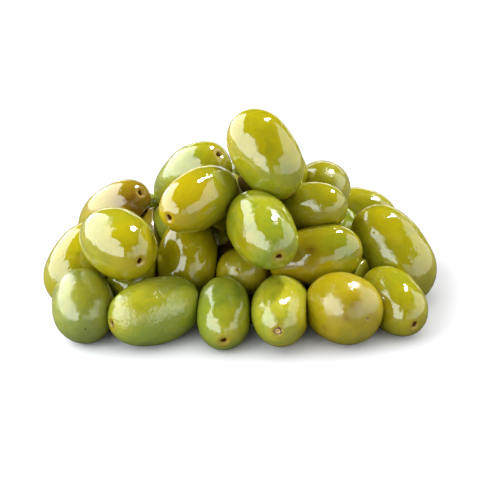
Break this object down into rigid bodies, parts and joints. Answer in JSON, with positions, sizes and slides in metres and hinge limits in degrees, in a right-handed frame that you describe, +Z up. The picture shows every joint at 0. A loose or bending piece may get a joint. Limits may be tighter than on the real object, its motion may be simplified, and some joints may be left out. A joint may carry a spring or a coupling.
{
  "type": "heap of green olives",
  "caption": "Heap of large green table olives lying on a flat surface, fused into one solid with a flat underside and small stem pits.",
  "frame": {"origin": "middle of the heap's flat underside, on the surface that it lies on", "axes": "+X to the right along the heap's longest side, +Y away from the pictured front, +Z up from the surface"},
  "size_m": [0.131, 0.1078, 0.0642],
  "materials": {
    "olive_skin": "wet, glossy yellow-green fruit skin"
  },
  "bodies": {
    "root": {"olive_heap": "olive_skin"}
  },
  "joints": []
}
